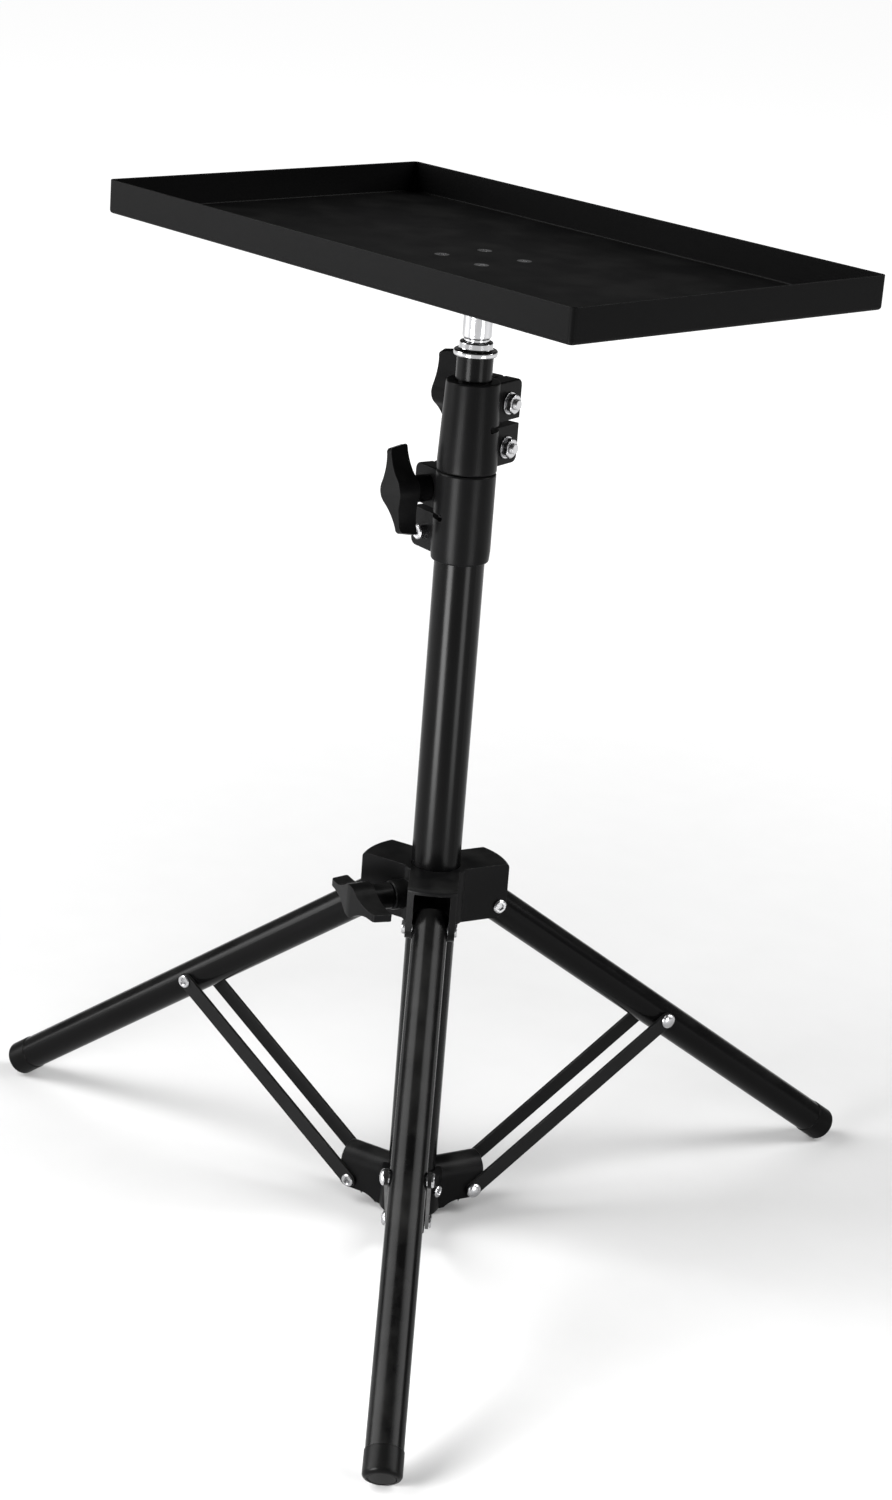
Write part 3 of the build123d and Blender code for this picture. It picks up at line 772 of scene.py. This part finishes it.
def buildCollar():
    style = collarStyle
    barrel, boss, reach = style["barrel"], style["boss"], style["bossReach"]
    low, high = nodeBox(["leg_collar"], legTurn["front"])
    collar = addTurned("leg_collar_moulded", [(0, low.z), (barrel, low.z), (barrel, high.z), (0, high.z)],
                       facets["barrel"])
    soften(collar, style["edge"], steps=4)
    lug = buildLug(low, high)
    for turn in legTurn.values():
        weld(collar, seat(copyOf(lug, "lug"), turn))
    discard(lug)
    bossPlace = jointPlace("collar_knob_turn") @ zToY
    knobBoss = addTurned("boss", [(0, 0), (boss, 0), (boss, reach), (0, reach)], facets["boss"])
    soften(knobBoss, style["edge"])
    weld(collar, seat(knobBoss, bossPlace))
    bore = nodeBox(["lower_tube"])[1].x + style["slide"]
    knobHole = addRod("hole", style["pin"] + style["fit"], (0, 0, 0), (0, 0, reach + over), facets["hole"])
    carve(collar, addRod("bore", bore, (0, 0, low.z - over), (0, 0, high.z + over), facets["barrel"]),
          seat(knobHole, bossPlace))
    dress(collar, "collar", clampPlastic, ["leg_collar"])


def buildCollarScrews():
    style, half = collarStyle, lugHalf
    start, end = [corner.y for corner in nodeBox(["collar_screw_front"], legTurn["front"])]
    head, headEdge, pin = style["screwHead"], style["headEdge"], style["pin"]
    tail, edge, hollow = style["tail"], style["tailEdge"], style["tailHollow"]
    tailFloor = end - style["tailDepth"]
    screw = addTurned("collar_screw", [
        (0, start), (head - headEdge, start), (head, start + headEdge), (head, -half), (pin, -half),
        (pin, half), (tail, half), (tail, end - edge), (tail - edge, end), (hollow + edge, end),
        (hollow, end - edge), (hollow, tailFloor), (0, tailFloor)], facets["pin"])
    carve(screw, addRod("socket", style["socket"], (0, 0, start - mm), (0, 0, start + style["socketDepth"]),
                        facets["hex"]))
    for leg, turn in legTurn.items():
        each = seat(copyOf(screw, "collar_screw_turned_" + leg),
                    turn @ Matrix.Translation((pivotReach, 0, collarPivot)) @ zToY)
        dress(each, "collar", zincPlate, ["collar_screw_" + leg])
    discard(screw)


buildCollar()
buildCollarScrews()
print("stand: collar moulded")


# hub with domed arms at the foot of the column
hubStyle = {"barrel": 18 * mm, "top": 31 * mm, "topEdge": 2 * mm, "armBottom": 8 * mm, "armWall": 3.2 * mm,
            "armGap": 0.3 * mm, "roof": 25 * mm, "scallopStart": 28 * mm, "toe": 4.5 * mm,
            "edge": 0.8 * mm, "fit": 0.05 * mm, "pin": 3 * mm, "screwPin": 2 * mm,
            "screwHollow": 1.8 * mm, "screwDimple": 1 * mm, "screwEdge": 0.5 * mm}
hubScrewTurn = legTurn["front"] @ Matrix.Rotation(math.pi / len(legTurn), 4, "Z") @ xToY
hubScrewLow, hubScrewHigh = nodeBox(["hub_screw"], hubScrewTurn)
hubScrewZ = (hubScrewLow.z + hubScrewHigh.z) / 2


def buildArm(low, high):
    style, end = hubStyle, high.x
    half = -nodeBox(["brace_front_a"], legTurn["front"])[1].y - style["armGap"]
    # a half-round end is drawn with its sides straight down, and pulled along the arm
    crown = arcSteps(0, high.z - half, half, 180, 0, count=32)
    arm = drawLine("arm", [(-half, low.z), *crown, (half, low.z)])
    bpy.ops.mesh.edge_face_add()
    bpy.ops.transform.rotate(value=math.radians(90), orient_axis="Z", center_override=(0, 0, 0))
    bpy.ops.mesh.extrude_region_move(TRANSFORM_OT_translate={"value": (end, 0, 0)})
    endEdit()
    tidyMesh(arm)
    start, bottom = style["scallopStart"], style["armBottom"]
    drop = bottom - low.z
    run = start - style["barrel"]
    scallop = (run ** 2 + drop ** 2) / (2 * drop)
    scallopZ = bottom - scallop
    carve(arm,
          addRod("scallop", scallop, (start, -half - over, scallopZ), (start, half + over, scallopZ),
                 facets["barrel"]),
          addBlock("under", (start, -half - over, low.z - over), (end + over, half + over, bottom)))
    roundEdges(arm, lambda edge: runsAlong(edge, 1) and close(middle(edge).x, end)
               and close(middle(edge).z, bottom), style["toe"], steps=6)
    soften(arm, style["edge"], sharper=40)
    hollow = half - style["armWall"]
    carve(arm,
          addBlock("pocket", (style["barrel"] - over, -hollow, low.z - over),
                   (end + over, hollow, style["roof"])),
          addRod("hole", style["pin"] + style["fit"], (pivotReach, -half - over, hubPivot),
                 (pivotReach, half + over, hubPivot), facets["hole"]))
    return arm


def buildHub():
    style, barrel, top = hubStyle, hubStyle["barrel"], hubStyle["top"]
    low, high = nodeBox(["lower_hub"], legTurn["front"])
    arm = buildArm(low, high)
    hub = addTurned("lower_hub_moulded", [(0, low.z), (barrel, low.z), (barrel, top), (0, top)],
                    facets["barrel"])
    soften(hub, style["topEdge"], steps=5)
    for turn in legTurn.values():
        weld(hub, seat(copyOf(arm, "arm"), turn))
    discard(arm)
    tubeLow, tubeHigh = nodeBox(["lower_tube"])
    screwHole = addRod("hole", style["screwPin"] + style["fit"], (0, 0, hubScrewZ),
                       (0, barrel + over, hubScrewZ), facets["hole"])
    carve(hub, addRod("bore", tubeHigh.x + style["fit"], (0, 0, tubeLow.z), (0, 0, high.z + over),
                      facets["barrel"]), seat(screwHole, hubScrewTurn))
    dress(hub, "column", clampPlastic, ["lower_hub"])


def buildHubScrew():
    style, start, end = hubStyle, hubScrewLow.y, hubScrewHigh.y
    head, seatAt = (hubScrewHigh.z - hubScrewLow.z) / 2, style["barrel"]
    pin, hollow, edge = style["screwPin"], style["screwHollow"], style["screwEdge"]
    dimple = end - style["screwDimple"]
    screw = addTurned("hub_screw_turned", [
        (0, start), (pin, start), (pin, seatAt), (head, seatAt), (head, end - edge), (head - edge, end),
        (hollow + edge / 2, end), (hollow, end - edge / 2), (hollow, dimple), (0, dimple)], facets["pin"])
    seat(screw, hubScrewTurn @ Matrix.Translation((0, 0, hubScrewZ)) @ zToY)
    dress(screw, "column", zincPlate, ["hub_screw"])


buildHub()
buildHubScrew()
print("stand: hub moulded")


# rivets of the legs and the hub, alike, with a domed head and a rolled hollow tail
rivetStyle = {"pin": 3 * mm, "head": 4.5 * mm, "headHeight": 2.4 * mm, "tail": 3.8 * mm,
              "tailHeight": 1.2 * mm, "hollow": 1.8 * mm, "hollowDepth": 2 * mm, "brim": 0.3 * mm,
              "tailEdge": 0.5 * mm}


def buildRivets():
    style = rivetStyle
    start, end = [corner.y for corner in nodeBox(["leg_rivet_front"], legTurn["front"])]
    head, pin, tail, hollow = style["head"], style["pin"], style["tail"], style["hollow"]
    headFoot, tailFoot = start + style["headHeight"], end - style["tailHeight"]
    squash = (style["headHeight"] - style["brim"]) / head
    brim, edge, hollowFloor = headFoot - style["brim"], style["tailEdge"], end - style["hollowDepth"]
    dome = [(across, brim + squash * rise) for across, rise in arcSteps(0, 0, head, -90, 0, count=8)]
    rivet = addTurned("rivet", [
        *dome, (head, headFoot), (pin, headFoot), (pin, tailFoot), (tail, tailFoot), (tail, end - edge),
        (tail - edge, end), (hollow + edge, end), (hollow, end - edge), (hollow, hollowFloor),
        (0, hollowFloor)], facets["pin"])
    for leg, turn in legTurn.items():
        for kind, body, reach, height in (("leg", "leg_" + leg, kneeReach, kneePivot.z),
                                          ("hub", "column", pivotReach, hubPivot)):
            node = kind + "_rivet_" + leg
            each = seat(copyOf(rivet, node + "_set"), turn @ Matrix.Translation((reach, 0, height)) @ zToY)
            dress(each, body, zincPlate, [node])
    discard(rivet)


buildRivets()
print("stand: rivets set")


# rubber feet
footStyle = {"lip": 0.5 * mm, "rim": 2.5 * mm, "groove": 0.5 * mm, "grooveRadius": 7.1 * mm,
             "grooveWidth": 0.5 * mm, "dome": 0.15 * mm, "tubeWall": 1.2 * mm, "fit": 0.05 * mm}


def buildFeet():
    style, place = footStyle, legTurn["front"] @ legPlace
    low, high = nodeBox(["foot_cap_front"], place)
    tubeHigh = nodeBox(["leg_tube_front"], place)[1]
    stem, tubeEnd = tubeHigh.x - style["tubeWall"] - style["fit"], tubeHigh.z
    rim = arcSteps(high.x - style["rim"], high.z - style["rim"], style["rim"], 0, 90, count=6)
    lip, groove, width, dome = style["lip"], style["grooveRadius"], style["grooveWidth"], style["dome"]
    foot = addTurned("foot", [
        (0, low.z), (stem, low.z), (stem, tubeEnd), (high.x - lip, tubeEnd), (high.x, tubeEnd + lip), *rim,
        (groove + width, high.z), (groove + width / 2, high.z - style["groove"]), (groove, high.z - dome),
        (groove / 2, high.z - dome / 4), (0, high.z)], facets["foot"])
    for leg, turn in legTurn.items():
        each = seat(copyOf(foot, "rubber_foot_" + leg), turn @ legPlace)
        dress(each, "leg_" + leg, footRubber, ["foot_cap_" + leg], smooth=50)
    discard(foot)


buildFeet()
print("stand: feet pushed on")


# the tubes, bars and flange keep their CAD shape
keptLooks = {"tray_flange": trayCoat}
for section in ("lower", "middle", "upper"):
    keptLooks[section + "_tube"] = tubePaint
for leg in legTurn:
    keptLooks["leg_tube_" + leg] = tubePaint
    keptLooks["brace_" + leg + "_a"] = bracePaint
    keptLooks["brace_" + leg + "_b"] = bracePaint
for name, look in keptLooks.items():
    nodes[name].material_slots[0].material = look
print("stand: tubes and bars painted")


# pale floor, soft studio light and the photo's viewpoint
floorStyle = {"radius": 30, "sides": 128, "colour": 0.55, "fibre": 0.01, "fibreScale": 30, "rough": 0.9,
              "specular": 0.1, "glow": 0.9, "glowStart": 0.35, "glowFull": 2.2}
backdropStyle = {"light": 0.1, "seen": 0.95}
lightStyle = {
    "left": {"turn": -37, "away": 0.75, "height": 0.18, "aim": 0.18, "width": 0.28, "tall": 0.36,
             "power": 11.6},
    "right": {"turn": 44, "away": 0.75, "height": 0.18, "aim": 0.18, "width": 0.24, "tall": 0.36,
              "power": 3.2},
    "leftSide": {"turn": -90, "away": 2.2, "height": 1.6, "aim": 0.35, "width": 1.3, "tall": 3.1,
                 "power": 130},
    "rightSide": {"turn": 90, "away": 2.2, "height": 2.1, "aim": 0.35, "width": 1.2, "tall": 2.6,
                  "power": 92}}
viewStyle = {"azimuth": 46.499, "elevation": 19.318, "roll": 4.489, "distance": 1.694182, "lens": 72.4266,
             "height": 0.2912611, "sideways": 0.00081893, "sensor": 36, "clipEnd": 200}


def viewBack(azimuth, elevation):
    # from the stand towards a viewer
    turn, tilt = math.radians(azimuth), math.radians(elevation)
    return Vector((math.sin(turn) * math.cos(tilt), -math.cos(turn) * math.cos(tilt), math.sin(tilt)))


def makeFloorPaper():
    # paper that glows towards white away from the stand
    style = floorStyle
    paper = bpy.data.materials.new("floor paper")
    paper.use_nodes = True
    tree = paper.node_tree
    link = tree.links.new
    shader = setInputs(tree.nodes["Principled BSDF"], {
        "Roughness": style["rough"], "Specular IOR Level": style["specular"], "Emission Strength": 1})
    where = addNode(tree, "ShaderNodeTexCoord")
    distance = addNode(tree, "ShaderNodeVectorMath", operation="LENGTH")
    fibres = setInputs(addNode(tree, "ShaderNodeTexNoise"), {"Scale": style["fibreScale"]})
    link(where.outputs["Object"], distance.inputs[0])
    link(where.outputs["Object"], fibres.inputs["Vector"])
    shade = ranged(tree, fibres.outputs["Fac"], 0, 1, style["colour"] - style["fibre"],
                   style["colour"] + style["fibre"])
    glow = ranged(tree, distance.outputs["Value"], style["glowStart"], style["glowFull"], 0, style["glow"])
    for value, socket in ((shade, "Base Color"), (glow, "Emission Color")):
        tone = addNode(tree, "ShaderNodeCombineColor")
        for channel in ("Red", "Green", "Blue"):
            link(value, tone.inputs[channel])
        link(tone.outputs["Color"], shader.inputs[socket])
    return paper


def buildFloor():
    clearSelection()
    bpy.ops.mesh.primitive_circle_add(vertices=floorStyle["sides"], radius=floorStyle["radius"],
                                      fill_type="NGON")
    floor = fresh("studio_floor")
    floor.data.materials.append(makeFloorPaper())


def buildBackdrop():
    # a pale backdrop that hardly lights the stand
    world = bpy.data.worlds.new("studio")
    world.use_nodes = True
    tree = world.node_tree
    sky = setInputs(tree.nodes["Background"], {"Color": (1, 1, 1, 1)})
    path = addNode(tree, "ShaderNodeLightPath")
    strength = ranged(tree, path.outputs["Is Camera Ray"], 0, 1,
                      backdropStyle["light"], backdropStyle["seen"])
    tree.links.new(strength, sky.inputs["Strength"])
    bpy.context.scene.world = world


def buildLights():
    for name, style in lightStyle.items():
        away = viewBack(viewStyle["azimuth"] + style["turn"], 0) * style["away"]
        spot = Vector((away.x, away.y, style["height"]))
        aim = Vector((0, 0, style["aim"]))
        facing = (spot - aim).to_track_quat("Z", "Y").to_euler()
        clearSelection()
        bpy.ops.object.light_add(type="AREA", location=spot, rotation=facing)
        light = bpy.context.object
        light.name = name + "_softbox"
        light.data.shape = "RECTANGLE"
        light.data.size = style["width"]
        light.data.size_y = style["tall"]
        light.data.energy = style["power"]
        light.visible_camera = False


def buildCamera():
    style = viewStyle
    back = viewBack(style["azimuth"], style["elevation"])
    level = Vector((0, 0, 1)).cross(back).normalized()
    plumb = back.cross(level)
    roll = math.radians(style["roll"])
    right = level * math.cos(roll) + plumb * math.sin(roll)
    up = plumb * math.cos(roll) - level * math.sin(roll)
    target = Vector((0, 0, style["height"])) + level * style["sideways"]
    bpy.ops.object.camera_add()
    camera = bpy.context.object
    camera.name = "photo_view"
    camera.matrix_world = Matrix((right, up, back)).transposed().to_4x4()
    camera.location = target + back * style["distance"]
    camera.data.lens = style["lens"]
    camera.data.sensor_width = style["sensor"]
    camera.data.clip_end = style["clipEnd"]
    bpy.context.scene.camera = camera
    bpy.context.scene.view_settings.view_transform = "Standard"


buildFloor()
buildBackdrop()
buildLights()
buildCamera()
print("stand: floor, lights and camera set")
